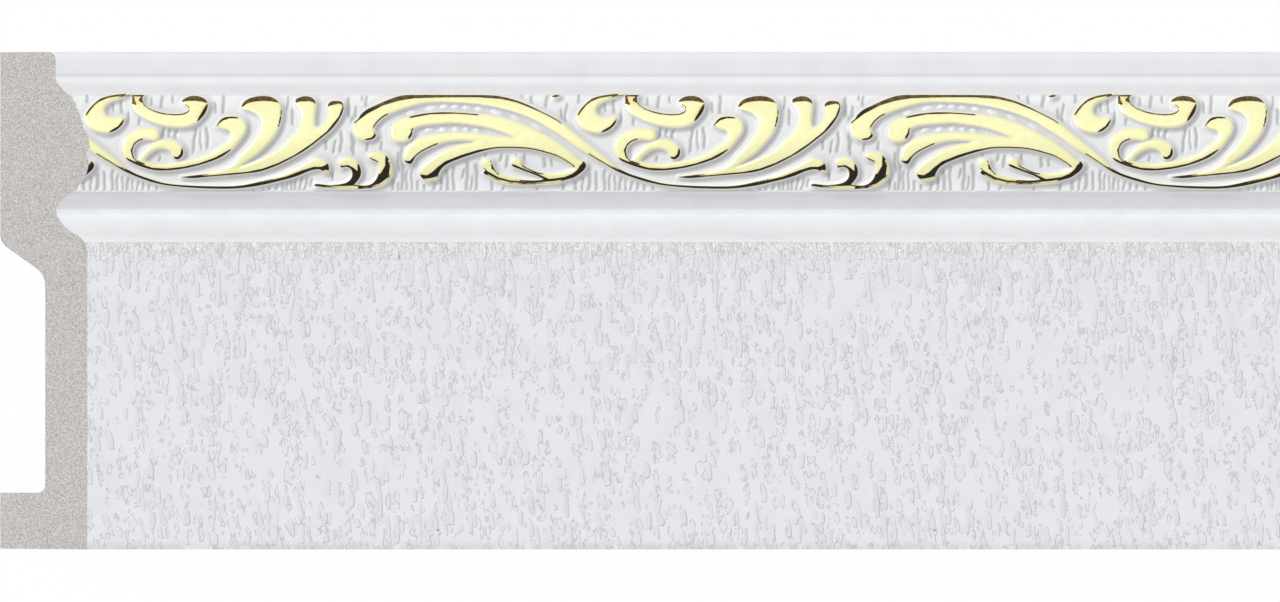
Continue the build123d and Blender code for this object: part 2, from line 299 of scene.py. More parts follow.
# Rows of small white beads between the fingers of the plume: (u, v, half of the length)
BEADS = (
    (10.8, 14.75, 0.85), (14.6, 15.6, 1.0), (17.1, 15.85, 0.7), (19.2, 15.8, 0.65), (21.35, 15.68, 0.75),
    (23.7, 15.4, 0.7), (27.0, 14.75, 1.0), (30.7, 13.65, 0.95), (34.8, 11.9, 1.1), (14.1, 11.35, 0.8),
    (16.8, 11.55, 0.65), (19.2, 11.6, 0.6), (21.2, 11.45, 0.5), (23.2, 11.2, 0.6),
)

# The rows of beads bend over this place: how much a bead leans for each millimetre off it
BEAD_MIDDLE = 18.0
BEAD_BEND = 0.028
BEAD_HALF_WIDTH = 0.34

# Heights in the ground's relief: how deep a groove cuts into it as a share, and how far a bead stands over it
GROOVE_CUT = 0.95
BEAD_RISE = 0.36

# How much wider than drawn a groove spreads
GROOVE_SPREAD = 1.1

# The white slopes of the leaves reach further this way, to the right and down
SLOPE_LEAN = (0.26, -0.18)

# The sides of the leaves away from the light are grey: how far off they reach, how grey they are at most,
# and how soft their rim is
LEE_SIDES = (((0.5, -0.42), 0.38, 0.3), ((0.8, -0.75), 0.20, 0.5))

# Kinds of drips: the share of the draws that ends with each, its range of lengths and its range of widths
DRIP_KINDS = (
    (0.34, (1.2, 1.8), (0.9, 1.2)),
    (0.96, (2.0, 4.0), (1.0, 1.7)),
    (1.00, (4.5, 7.5), (0.9, 1.3)),
)

# Belts of the face that hold the drips: the share of the draws that ends with each, and its heights
DRIP_BELTS = (
    (0.20, (53.5, 58.6)),
    (0.44, (38.0, 54.5)),
    (0.88, (3.0, 40.0)),
    (1.00, (0.8, 6.0)),
)

# Share of the drips that start under the one before them
CHAINED_SHARE = 0.42

# How far a drip's edge lies under the face, and the painted shade of its edge and of its top
DRIP_SUNK = 0.06
DRIP_PAINTED_SHADES = (1.0, 0.15)


class BoardSizes(bpy.types.PropertyGroup):
    """Sizes of the relief that the mould leaves on the board's front."""

    repeat: bpy.props.FloatProperty(
        name="Repeat", description="Length of one repeat of the scroll", default=94.8 * MM, unit="LENGTH"
    )
    first_start: bpy.props.FloatProperty(
        name="First start",
        description="Where the first repeat would start, left of the mitred end",
        default=BOARD_LOW.x - 26.66 * MM,
        unit="LENGTH",
    )
    fine_repeats: bpy.props.IntProperty(
        name="Fine repeats", description="Repeats from the mitred end with the finest mesh", default=3
    )
    ground_height: bpy.props.FloatProperty(
        name="Ground height", description="Crackled ground over the plain band",
        default=0.25 * MM, unit="LENGTH"
    )
    leaf_height: bpy.props.FloatProperty(
        name="Leaf height", description="White leaf edges over the ground", default=0.62 * MM, unit="LENGTH"
    )
    shoulder: bpy.props.FloatProperty(
        name="Shoulder", description="Width of the white slope round each leaf",
        default=0.85 * MM, unit="LENGTH"
    )
    foil_rise: bpy.props.FloatProperty(
        name="Foil rise", description="Crown of the gilded leaves over their edge",
        default=0.22 * MM, unit="LENGTH"
    )
    # How far the painted dark reflections reach past their drawn width
    dark_reflection_spread: bpy.props.FloatProperty(
        name="Turned spread", description="How far the dark strokes reach past their drawn width",
        default=0.05 * MM, unit="LENGTH"
    )
    foil_reach: bpy.props.FloatProperty(
        name="Foil reach", description="How far the foil reaches past the drawn edge of a leaf",
        default=0.07 * MM, unit="LENGTH"
    )
    # Width of the painted dark reflection along the leaf's rim beside the dark strokes
    dark_reflection_rim: bpy.props.FloatProperty(
        name="Turned rim", description="Width of the dark rim beside the dark strokes",
        default=0.20 * MM, unit="LENGTH"
    )
    drip_rise: bpy.props.FloatProperty(
        name="Drip rise", description="Height of the drips over the plain face",
        default=0.08 * MM, unit="LENGTH"
    )
    drip_count: bpy.props.IntProperty(
        name="Drips", description="Drips on the plain face in one repeat near the mitred end", default=620
    )
    far_drip_count: bpy.props.IntProperty(
        name="Far drips", description="Drips on the plain face in one repeat further along", default=380
    )
    seed: bpy.props.IntProperty(name="Seed", description="Start of the random draws for the drips", default=7)


class BoardColours(bpy.types.PropertyGroup):
    """Colours of the board's finishes, as linear values."""

    coat: bpy.props.FloatVectorProperty(
        name="White coat", description="Satin coat", subtype="COLOR", size=3, default=(0.865, 0.88, 0.915)
    )
    # Grey for the coat's faint clouds, and for painted shade in grooves, round leaves, on drip rims and under
    # the nose
    cloud_and_painted_shade_grey: bpy.props.FloatVectorProperty(
        name="Hollows", description="Coat in the hollows", subtype="COLOR", size=3,
        default=(0.50, 0.51, 0.535)
    )
    arris: bpy.props.FloatVectorProperty(
        name="Rubbed foot", description="Coat rubbed thin at the foot", subtype="COLOR", size=3,
        default=(0.62, 0.60, 0.57)
    )
    foam: bpy.props.FloatVectorProperty(
        name="Raw foam", description="Cut ends and back", subtype="COLOR", size=3,
        default=(0.467, 0.445, 0.429)
    )
    foil: bpy.props.FloatVectorProperty(
        name="Gold foil", description="Foil that faces out", subtype="COLOR", size=3,
        default=(1.0, 0.985, 0.55)
    )
    # The warmer tint is used on the listed warm strokes, and along the leaves' edges and bevels as a painted
    # reflection
    foil_warm: bpy.props.FloatVectorProperty(
        name="Warm foil", description="Foil worn to a warmer tint", subtype="COLOR", size=3,
        default=(0.93, 0.68, 0.27)
    )
    # Painted reflections: brown where the foil turns up and away, near black where it turns steeply away
    painted_reflection_brown: bpy.props.FloatVectorProperty(
        name="Brown foil", description="Foil that turns up and away", subtype="COLOR", size=3,
        default=(0.16, 0.10, 0.04)
    )
    painted_reflection_black: bpy.props.FloatVectorProperty(
        name="Turned foil", description="Foil that turns steeply away", subtype="COLOR", size=3,
        default=(0.012, 0.009, 0.006)
    )


class StageSizes(bpy.types.PropertyGroup):
    """The camera, the floor and the light."""

    lens: bpy.props.FloatProperty(name="Lens", description="Camera lens in millimetres", default=780.0)
    view_width: bpy.props.FloatProperty(
        name="View width", description="Width of the board's front that the picture shows",
        default=244.2 * MM, unit="LENGTH"
    )
    view_x: bpy.props.FloatProperty(
        name="View middle", description="Distance of the picture's middle from the mitred end",
        default=122.45 * MM, unit="LENGTH"
    )
    view_y: bpy.props.FloatProperty(
        name="View height", description="Height of the picture's middle over the board's middle",
        default=-0.1 * MM, unit="LENGTH"
    )
    sky: bpy.props.FloatProperty(name="Sky", description="Strength of the even light", default=0.54)
    sun: bpy.props.FloatProperty(name="Sun", description="Share of the light from one side", default=0.47)


def field_depth(v):
    """Depth of the band's plain field at a height over its lip, in millimetres."""
    middle_height, middle_depth, radius = FIELD_ARC
    return middle_depth + np.sqrt(radius ** 2 - (v - middle_height) ** 2)


def face_depth(height):
    """Depth of the plain face and of the shoulder over it, at heights over the bottom edge in millimetres."""
    middle_height, middle_depth, radius = SHOULDER_ARC
    over = np.clip(height, FACE_TOP, None) - middle_height
    arc = middle_depth + np.sqrt(np.maximum(radius ** 2 - over ** 2, 0.0))
    return np.where(height < FACE_TOP, BOARD_HIGH.z / MM, arc)


def picked(draw, rows):
    """The row that a random draw falls in, where each row starts with the share that ends with it."""
    share = draw.random()
    return next(row[1:] for row in rows if share < row[0])


def smooth_step(value):
    """0 below 0, 1 above 1 and a smooth rise between."""
    t = np.clip(value, 0.0, 1.0)
    return t * t * (3.0 - 2.0 * t)


def spline(points, spacing=0.3):
    """Points along a smooth line through the given ones, without the first."""
    ends = [2 * points[0] - points[1]] + points + [2 * points[-1] - points[-2]]
    line = []
    for before, start, end, after in zip(ends, ends[1:], ends[2:], ends[3:]):
        span = np.linalg.norm(end - start)
        pairs = ((before, start), (start, end), (end, after))
        gaps = [max(np.linalg.norm(second - first), 1e-6) ** 0.5 for first, second in pairs]
        leave = (end - start) - gaps[1] * ((end - before) / (gaps[0] + gaps[1]) - (start - before) / gaps[0])
        arrive = (end - start) - gaps[1] * ((after - start) / (gaps[1] + gaps[2]) - (after - end) / gaps[2])
        steps = max(1, round(span / spacing))
        for step in range(1, steps + 1):
            t = step / steps
            line.append(
                (2 * t ** 3 - 3 * t ** 2 + 1) * start
                + (t ** 3 - 2 * t ** 2 + t) * leave
                + (3 * t ** 2 - 2 * t ** 3) * end
                + (t ** 3 - t ** 2) * arrive
            )
    return line


def outline(leaf):
    """Closed line of points round a leaf, from its smooth runs."""
    last = np.array(leaf[-1][-1])
    line = []
    for run in leaf:
        line += spline([last] + [np.array(point) for point in run])
        last = line[-1]
    return np.array(line)


def leaf_distance(places, line, reach):
    """Distance of places from a leaf's line, less than 0 inside it, and reach at most."""
    starts, ends = np.roll(line, 1, axis=0), line
    result = np.full(len(places), float(reach))
    low, high = line.min(axis=0) - reach, line.max(axis=0) + reach
    near = np.flatnonzero(((places > low) & (places < high)).all(axis=1))
    for chunk in np.array_split(near, max(1, len(near) // 4000)):
        spots = places[chunk][:, None, :]
        way = ends - starts
        along = ((spots - starts) * way).sum(axis=2) / np.maximum((way ** 2).sum(axis=1), 1e-12)
        gap = spots - (starts + np.clip(along, 0.0, 1.0)[..., None] * way)
        distance = np.sqrt((gap ** 2).sum(axis=2).min(axis=1))
        rises = (starts[:, 1] > spots[..., 1]) != (ends[:, 1] > spots[..., 1])
        safe = np.where(way[:, 1] == 0.0, 1.0, way[:, 1])
        cross_u = starts[:, 0] + (spots[..., 1] - starts[:, 1]) * way[:, 0] / safe
        inside = ((rises & (spots[..., 0] < cross_u)).sum(axis=1) % 2) == 1
        result[chunk] = np.where(inside, -distance, np.minimum(distance, reach))
    return result


LINES = [outline(leaf) for leaf in LEAVES]


def scroll_distance(places, repeat=None, reach=2.5):
    """Distance from the nearest leaf's edge, less than 0 inside a leaf. With repeat, the leaves repeat."""
    result = np.full(len(places), float(reach))
    shifts = (0.0,) if repeat is None else (-repeat, 0.0, repeat)
    for shift in shifts:
        for line in LINES:
            result = np.minimum(result, leaf_distance(places - (shift, 0.0), line, reach))
    return result


def stroke_distance(places, strokes, reach=1.5):
    """Distance from the edge of strokes of changing width, less than 0 inside one."""
    result = np.full(len(places), float(reach))
    for stroke in strokes:
        points = np.array(stroke)
        for start, end in zip(points, points[1:]):
            low = np.minimum(start, end)[:2] - reach
            high = np.maximum(start, end)[:2] + reach
            near = np.flatnonzero(((places > low) & (places < high)).all(axis=1))
            way = end[:2] - start[:2]
            along = np.clip(((places[near] - start[:2]) @ way) / (way @ way), 0.0, 1.0)
            gap = np.linalg.norm(places[near] - start[:2] - along[:, None] * way, axis=1)
            width = start[2] + along * (end[2] - start[2])
            result[near] = np.minimum(result[near], gap - width)
    return result


def grid(low, high, steps):
    """Places on an even grid and its triangles."""
    columns, rows = steps
    u = np.linspace(low[0], high[0], columns + 1)
    v = np.linspace(low[1], high[1], rows + 1)
    places = np.stack(np.meshgrid(u, v, indexing="ij"), axis=2).reshape(-1, 2)
    first = (np.arange(columns)[:, None] * (rows + 1) + np.arange(rows)).ravel()
    right, up, across = first + rows + 1, first + 1, first + rows + 2
    triangles = np.concatenate([np.stack([first, right, across], 1), np.stack([first, across, up], 1)])
    return places, triangles


def cut_triangles(values, triangles, column, level):
    """Splits the triangles that cross the line where one column of the values has a level."""
    side = values[:, column] - level
    side = np.where(side == 0.0, 1e-9, side)
    above = (side > 0.0)[triangles]
    count = above.sum(axis=1)
    kept = triangles[(count == 0) | (count == 3)]
    crossed = triangles[(count == 1) | (count == 2)]
    flags = above[(count == 1) | (count == 2)]
    lone = np.where(flags.sum(axis=1) == 1, flags.argmax(axis=1), (~flags).argmax(axis=1))
    rows = np.arange(len(crossed))
    tip, second, third = (crossed[rows, (lone + turn) % 3] for turn in range(3))
    pairs = np.concatenate([np.stack([tip, second], 1), np.stack([tip, third], 1)])
    pairs.sort(axis=1)
    edges, where = np.unique(pairs, axis=0, return_inverse=True)
    where = where.ravel() + len(values)
    share = side[edges[:, 0]] / (side[edges[:, 0]] - side[edges[:, 1]])
    added = values[edges[:, 0]] + share[:, None] * (values[edges[:, 1]] - values[edges[:, 0]])
    on_second, on_third = where[: len(crossed)], where[len(crossed):]
    parts = (
        kept,
        np.stack([tip, on_second, on_third], 1),
        np.stack([on_second, second, third], 1),
        np.stack([on_second, third, on_third], 1),
    )
    return np.concatenate([values, added]), np.concatenate(parts)


def walled(places, tops, bottoms, triangles):
    """Points and faces of a surface with walls down from its rim, and the edges of the walls' foot."""
    used = np.unique(triangles)
    renumber = np.zeros(len(places), dtype=int)
    renumber[used] = np.arange(len(used))
    triangles = renumber[triangles]
    upper = np.column_stack([places[used], tops[used]])
    edges = np.concatenate([triangles[:, [0, 1]], triangles[:, [1, 2]], triangles[:, [2, 0]]])
    keys = edges[:, 0] * len(used) + edges[:, 1]
    twins = edges[:, 1] * len(used) + edges[:, 0]
    rim = edges[~np.isin(keys, twins)]
    corners = np.unique(rim)
    below = np.zeros(len(used), dtype=int)
    below[corners] = np.arange(len(corners)) + len(used)
    lower = np.column_stack([places[used][corners], bottoms[used][corners]])
    walls = np.column_stack([rim[:, 1], rim[:, 0], below[rim[:, 0]], below[rim[:, 1]]])
    return np.concatenate([upper, lower]), triangles.tolist() + walls.tolist(), below[rim]


def mesh_of(name, points, faces, foot=()):
    """A mesh from points in millimetres, closed along the edges of its foot."""
    mesh = bpy.data.meshes.new(name)
    mesh.from_pydata((np.asarray(points) * MM).tolist(), [], faces + loops(foot))
    mesh.update()
    return mesh


def loops(edges):
    """The closed loops that directed edges make, each as a tuple of points."""
    following = {int(start): int(end) for start, end in edges}
    found = []
    while following:
        start = next(iter(following))
        loop = [start]
        after = following.pop(start)
        while after in following:
            loop.append(after)
            after = following.pop(after)
        if len(loop) > 2:
            found.append(tuple(loop))
    return found


def thinned(mesh, share):
    """A copy of the mesh with about that share of its triangles."""
    carrier = bpy.data.objects.new("carrier", mesh)
    bpy.context.collection.objects.link(carrier)
    modifier = carrier.modifiers.new("thin", "DECIMATE")
    modifier.ratio = share
    reached = carrier.evaluated_get(bpy.context.evaluated_depsgraph_get())
    result = bpy.data.meshes.new_from_object(reached)
    bpy.data.objects.remove(carrier)
    return result


def smooth(mesh, angle):
    """Smooth shading with sharp edges where faces meet at more than an angle in degrees."""
    mesh.shade_smooth()
    mesh.set_sharp_from_angle(angle=math.radians(angle))


def point_value(mesh, name, values):
    """Stores one number for each point, for the finish to read."""
    layer = mesh.attributes.new(name, "FLOAT", "POINT")
    layer.data.foreach_set("value", np.asarray(values, dtype=np.float32))


def coordinates(mesh):
    """The points of a mesh in millimetres."""
    points = np.empty(len(mesh.vertices) * 3, dtype=np.float32)
    mesh.vertices.foreach_get("co", points)
    return points.reshape(-1, 3).astype(float) / MM


def on_band(mesh):
    """The points of a mesh as places on the band: along the repeat, and up from the lip."""
    return coordinates(mesh)[:, :2] - (0.0, LIP_HEIGHT + FOOT)


def cut_off(mesh, place, away):
    """A copy of the mesh without what lies past a plane, closed there with the raw foam's slot."""
    result = mesh.copy()
    shell = bmesh.new()
    shell.from_mesh(result)
    everything = shell.verts[:] + shell.edges[:] + shell.faces[:]
    cut = bmesh.ops.bisect_plane(
        shell, geom=everything, dist=1e-7, plane_co=place, plane_no=away, clear_outer=True
    )
    rims = [edge for edge in cut["geom_cut"] if isinstance(edge, bmesh.types.BMEdge) and edge.is_boundary]
    filled = bmesh.ops.triangle_fill(shell, edges=rims, use_beauty=True)
    for face in filled["geom"]:
        if isinstance(face, bmesh.types.BMFace):
            face.material_index = 1
            face.smooth = False
    bmesh.ops.recalc_face_normals(shell, faces=shell.faces[:])
    shell.to_mesh(result)
    shell.free()
    return result


def crept(mesh, start):
    """A copy of the mesh whose print lies off its even repeat, as near the board's mitred end."""
    result = mesh.copy()
    points = coordinates(mesh) * MM
    along = (points[:, 0] + start - BOARD_LOW.x) / MM
    points[:, 0] += np.interp(along, *np.transpose(PRINT_CREEP)) * MM
    result.vertices.foreach_set("co", points.astype(np.float32).ravel())
    result.update()
    return result


def lay_repeats(kind, fine, coarse, slot):
    """Places a mesh along the whole board, cut where the board ends, as one piece for each repeat.
    The coarse mesh takes over past the fine repeats."""
    sizes = bpy.context.scene.board_sizes
    count = math.ceil((BOARD_HIGH.x - sizes.first_start) / sizes.repeat) + 1
    for number in range(count):
        start = Vector((sizes.first_start + number * sizes.repeat, 0.0, 0.0))
        if number < sizes.fine_repeats:
            mesh = crept(fine, start.x)
        else:
            mesh = coarse
            start.x += PRINT_CREEP[-1][1] * MM
        points = coordinates(mesh) * MM
        if points[:, 0].min() + start.x > BOARD_HIGH.x:
            continue
        mitre = Vector((BOARD_LOW.x - CUT_PROUD[kind], 0.0, 0.0)) - start
        square = Vector((BOARD_HIGH.x + CUT_PROUD[kind], 0.0, 0.0)) - start
        if (points[:, 0] - points[:, 2]).min() < mitre.x:
            mesh = cut_off(mesh, mitre, Vector((-1.0, 0.0, 1.0)).normalized())
        if points[:, 0].max() > square.x:
            mesh = cut_off(mesh, square, Vector((1.0, 0.0, 0.0)))
        if not mesh.polygons:
            continue
        piece = bpy.data.objects.new(f"{kind}_{number:02d}", mesh)
        piece.location = start
        bpy.context.collection.objects.link(piece)
        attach(piece, "root")


def finished(mesh, finish, angle=None):
    """Gives a mesh its finish, raw foam for its cut ends, and smooth shading up to an angle in degrees."""
    if angle is not None:
        smooth(mesh, angle)
    mesh.materials.append(finish)
    mesh.materials.append(bpy.data.materials.get("foam_core") or foam_finish("foam_core"))


class Wire:
    """A socket of a finish, on which sums are written as Python expressions."""

    def __init__(self, bench, socket):
        self.bench = bench
        self.socket = socket

    def maths(self, operation, *values):
        """The result of one step of maths on the values."""
        return self.bench.node("ShaderNodeMath", {"operation": operation}, dict(enumerate(values)))

    def __add__(self, other):
        return self.maths("ADD", self, other)

    __radd__ = __add__

    def __sub__(self, other):
        return self.maths("SUBTRACT", self, other)

    def __rsub__(self, other):
        return self.maths("SUBTRACT", other, self)

    def __mul__(self, other):
        return self.maths("MULTIPLY", self, other)

    __rmul__ = __mul__

    def __gt__(self, other):
        return self.maths("GREATER_THAN", self, other)

    def __lt__(self, other):
        return self.maths("LESS_THAN", self, other)

    def __abs__(self):
        return self.maths("ABSOLUTE", self)

    def either(self, other):
        """The larger of the two."""
        return self.maths("MAXIMUM", self, other)

    def at_most(self, limit):
        """The value, held down to a limit."""
        return self.maths("MINIMUM", self, limit)

    def ramp(self, low, high):
        """0 below low, 1 above high and a smooth rise between."""
        sockets = {"Value": self, "From Min": low, "From Max": high}
        return self.bench.node("ShaderNodeMapRange", {"interpolation_type": "SMOOTHSTEP"}, sockets)

    def beside(self, output):
        """Another output of the same node."""
        return Wire(self.bench, self.socket.node.outputs[output])


class Bench:
    """A material in the making."""

    def __init__(self, name):
        self.material = bpy.data.materials.new(name)
        self.material.use_nodes = True
        self.tree = self.material.node_tree
        self.shader = self.tree.nodes["Principled BSDF"]

    def node(self, kind, settings=None, sockets=None, output=0):
        """Adds a node, its settings first and then its sockets, and gives the wire of one output."""
        made = self.tree.nodes.new(kind)
        for name, value in (settings or {}).items():
            if name == "stops":
                self.set_stops(made.color_ramp.elements, value)
            else:
                setattr(made, name, value)
        for name, value in (sockets or {}).items():
            self.feed(made.inputs[name], value)
        return Wire(self, made.outputs[output])

    def set_stops(self, marks, stops):
        """Gives a ramp its stops, each a place from 0 to 1 and a colour."""
        for number, (place, level) in enumerate(stops):
            mark = marks[number] if number < 2 else marks.new(place)
            mark.position = place
            mark.color = (*level, 1.0)

    def feed(self, socket, value):
        """Links a wire to a socket, or sets the socket to a number or a colour."""
        if isinstance(value, Wire):
            self.tree.links.new(value.socket, socket)
        elif socket.type == "RGBA":
            socket.default_value = (*value, 1.0)
        else:
            socket.default_value = value

    def surface(self, name, value):
        """Sets the shader's socket to a constant or a wire."""
        self.feed(self.shader.inputs[name], value)

    def levels(self, value, stops):
        """Colours along a value from 0 to 1, straight between the stops."""
        return self.node("ShaderNodeValToRGB", {"stops": stops}, {0: value})

    def mix(self, factor, first, second, blend="MIX"):
        """A colour between two."""
        settings = {"data_type": "RGBA", "blend_type": blend}
        return self.node("ShaderNodeMix", settings, {0: factor, 6: first, 7: second}, 2)

    def stored(self, name):
        """The number that the mesh stores under a name at its points."""
        return self.node("ShaderNodeAttribute", {"attribute_name": name}, output="Fac")

    def places(self, stretch=(1.0, 1.0, 1.0)):
        """Places on the object in millimetres, stretched along the axes."""
        where = self.node("ShaderNodeTexCoord", output="Object")
        scale = tuple(value / MM for value in stretch)
        return self.node("ShaderNodeVectorMath", {"operation": "MULTIPLY"}, {0: where, 1: scale})

    def noise(self, size, stretch=(1.0, 1.0, 1.0), detail=2.0):
        """Noise with lumps of about a size in millimetres."""
        sockets = {"Vector": self.places(stretch), "Scale": 1.0 / size, "Detail": detail}
        return self.node("ShaderNodeTexNoise", {"noise_dimensions": "3D"}, sockets)

    def axes(self, vector):
        """The three parts of a vector."""
        first = self.node("ShaderNodeSeparateXYZ", {}, {0: vector})
        return first, first.beside(1), first.beside(2)

    def bump(self, height, distance):
        """Feeds the shader's normal with a bump, its height in millimetres."""
        sockets = {"Height": height, "Distance": distance * MM, "Strength": 1.0}
        self.surface("Normal", self.node("ShaderNodeBump", {}, sockets))


def coat_colour(bench, colours, painted_shades):
    """The white coat: painted lighter or darker on each member as light falls on it, with faint clouds, with
    painted shade by the amount given, and a dark line painted as shade under the nose's lower edge.
    """
    height = bench.axes(bench.places())[1] - FOOT
    clouds = bench.noise(6.0, detail=3.0).ramp(0.35, 0.75) * 0.10
    clouded = bench.mix((painted_shades + clouds).at_most(1.0), colours.coat, colours.cloud_and_painted_shade_grey)
    # Each member is painted lighter or darker by its height, as light and shade fall on it, with its tint
    levels = bench.levels(height * (1.0 / BOARD_HEIGHT), [
        (mm / BOARD_HEIGHT, (level, level * (1.0 - 0.004 * warmth), level * (1.0 - 0.025 * warmth)))
        for mm, level, warmth in PAINTED_LIGHT_AND_TINT_LEVELS
    ])
    # A dark line painted as shade under the nose's lower edge
    painted_crease_shade = 1.0 - abs(height - PAINTED_SHADE_LINE_HEIGHT).ramp(0.08, 0.42)
    return bench.mix(painted_crease_shade * 0.30, bench.mix(1.0, clouded, levels, "MULTIPLY"), colours.cloud_and_painted_shade_grey)


def coat_finish(name):
    """Satin white coat for the moulded relief, with painted shade where its mesh stores it."""
    bench = Bench(name)
    bench.surface("Base Color", coat_colour(bench, bpy.context.scene.board_colours, bench.stored("painted_shade")))
    bench.surface("Roughness", COAT_ROUGHNESS)
    bench.bump(bench.noise(0.8, detail=3.0), 0.03)
    return bench.material


def foam_finish(name):
    """Raw foam where the relief is sawn through."""
    bench = Bench(name)
    bench.surface("Base Color", foam_colour(bench, bpy.context.scene.board_colours))
    bench.surface("Roughness", FOAM_ROUGHNESS)
    bench.bump(bench.noise(0.35, detail=4.0), 0.10)
    return bench.material


def foam_colour(bench, colours):
    """Warm grey raw foam with a fine speckle."""
    pale = tuple(min(1.0, value * 1.30) for value in colours.foam)
    dark = tuple(value * 0.73 for value in colours.foam)
    glint = tuple(min(1.0, value * 1.8) for value in colours.foam)
    speckle = bench.noise(0.27, detail=3.0).ramp(0.34, 0.66)
    glints = bench.noise(0.33, (1.3, 1.0, 1.0), 1.0).ramp(0.68, 0.74) * 0.6
    return bench.mix(glints, bench.mix(speckle, dark, pale), glint)


def foil_finish(name):
    """Pale hot-stamped foil, with painted dark reflections where it turns steeply away."""
    colours = bpy.context.scene.board_colours
    bench = Bench(name)
    painted_dark_reflection = bench.stored("painted_dark_reflection")
    # The painted dark reflections are brown in streaks towards the top of the band, near black lower down
    upper = (bench.axes(bench.places())[1] - (FOOT + LIP_HEIGHT)).ramp(14.8, 16.6)
    streaks = bench.noise(0.9, (1.0, 1.6, 1.0), 3.0).ramp(0.42, 0.62)
    dark = bench.mix(upper * (0.35 + streaks * 0.65), colours.painted_reflection_black, colours.painted_reflection_brown)
    patches = bench.noise(1.6, detail=3.0).ramp(0.55, 0.85) * 0.12
    # A painted reflection: a warmer tint on the bevel next to the leaf's edge
    painted_bevel_reflection = (1.0 - painted_dark_reflection.ramp(0.02, 0.32)) * 0.35
    pale = bench.mix(bench.stored("warm") * 0.40 + patches + painted_bevel_reflection, colours.foil, colours.foil_warm)
    bench.surface("Base Color", bench.mix(1.0 - painted_dark_reflection.ramp(-0.03, 0.07), pale, dark))
    bench.surface("Metallic", 0.25)
    bench.surface("Roughness", 0.34 + bench.noise(1.0).ramp(0.3, 0.7) * 0.10)
    bench.bump(bench.noise(0.9, detail=2.0), 0.02)
    return bench.material


def faint_drips(bench, size, share, rim):
    """Small faint drips in cells of about a size in millimetres, in a share of the cells.
    Gives how far each place lies on a drip's rim, and on its top."""
    sockets = {"Vector": bench.places(), "Scale": 1.0 / 1.1, "Detail": 1.0}
    waver = bench.node("ShaderNodeTexNoise", {}, sockets, "Color")
    waver = bench.node("ShaderNodeVectorMath", {"operation": "SCALE"}, {0: waver, "Scale": 1.3})
    x, y = bench.axes(bench.places())[:2]
    leaning = bench.node("ShaderNodeCombineXYZ", {}, {"X": x * 1.15 + y * 0.13, "Y": y * 0.46})
    spots = bench.node("ShaderNodeVectorMath", {"operation": "ADD"}, {0: leaning, 1: waver})
    settings = {"voronoi_dimensions": "2D"}
    sockets = {"Vector": spots, "Scale": 1.0 / size}
    away = bench.node("ShaderNodeTexVoronoi", settings, sockets)
    draws = bench.axes(away.beside(1))
    off_rim = away - (draws[0] * 0.28 + 0.14)
    held = draws[1] < share
    line = 1.0 - abs(off_rim).ramp(0.2 * rim / size, rim / size)
    top = 1.0 - off_rim.ramp(-rim / size, rim / size)
    return line * held, top * held


def faint_lines(bench, size):
    """Thin wandering lines about a size apart in millimetres."""
    settings = {"noise_dimensions": "2D"}
    sockets = {"Vector": bench.places((1.0, 0.7, 1.0)), "Scale": 1.0 / size, "Detail": 1.0}
    off_line = bench.node("ShaderNodeTexNoise", settings, sockets) - 0.5
    return 1.0 - abs(off_line).ramp(0.0, 0.06)


def bare_foam(bench, height, depth):
    """Where the board is raw foam: in the channel, on the back and on the cut ends."""
    normal_x, _, normal_z = bench.axes(bench.node("ShaderNodeTexCoord", output="Normal"))
    channel = (height > CHANNEL_FOOT) * (height < CHANNEL_HEAD) * (depth < CHANNEL_DEPTH)
    return channel.either(normal_z < -0.5).either(normal_x < -0.5).either(normal_x > 0.5)


def board_finish(name):
    """The whole board's surface: coated on its front, top and foot, raw foam on its back and ends, with painted
    shade on the rims of the face's faint drips.
    """
    colours = bpy.context.scene.board_colours
    bench = Bench(name)
    _, y, depth = bench.axes(bench.places())
    height = y - FOOT
    raw = bare_foam(bench, height, depth)
    rubbed = (1.0 - height.ramp(0.2, 2.2)) * bench.noise(2.5, (1.0, 0.6, 1.0), 4.0).ramp(0.25, 0.6)
    on_face = (height < FACE_TEXTURE_TOP) * (depth > FACE_DEPTH)
    crowded = height.ramp(54.0, 57.6).either((1.0 - height.ramp(1.5, 5.0)) * 0.35)
    broken = bench.noise(1.3, detail=1.0).ramp(0.36, 0.56)
    clumps = bench.noise(7.0, (1.5, 0.6, 1.0), 1.0).ramp(0.40, 0.60)
    rims, tops = faint_drips(bench, 2.2, clumps * 0.55 + 0.30, 0.19)
    small_rims, small_tops = faint_drips(bench, 1.25, crowded * 0.55 + 0.34, 0.15)
    rims = (rims.either(small_rims) * broken).either(small_rims * crowded)
    tops = tops.either(small_tops)
    lines = faint_lines(bench, 1.1).either(faint_lines(bench, 0.6) * 0.6) * height.ramp(51.5, 57.0) * 0.75
    rims = rims.either(lines)
    # Painted shade: the faint drips' rims and the wandering lines are painted grey as their shading, with a
    # light grey fill on the drips' tops
    marks = rims * (0.48 - crowded * 0.14) + tops * 0.07
    coat = coat_colour(bench, colours, marks * on_face)
    coat = bench.mix(crowded * on_face * 0.05, coat, colours.arris)
    coat = bench.mix(rubbed * 0.7, coat, colours.arris)
    bench.surface("Base Color", bench.mix(raw, coat, foam_colour(bench, colours)))
    bench.surface("Roughness", COAT_ROUGHNESS + raw * (FOAM_ROUGHNESS - COAT_ROUGHNESS))
    fine = bench.noise(0.35, detail=4.0) * (0.15 + raw * 0.85)
    bench.bump(fine + (tops * 0.12 + rims * 0.60) * (0.8 + crowded) * on_face, 0.10)
    return bench.material


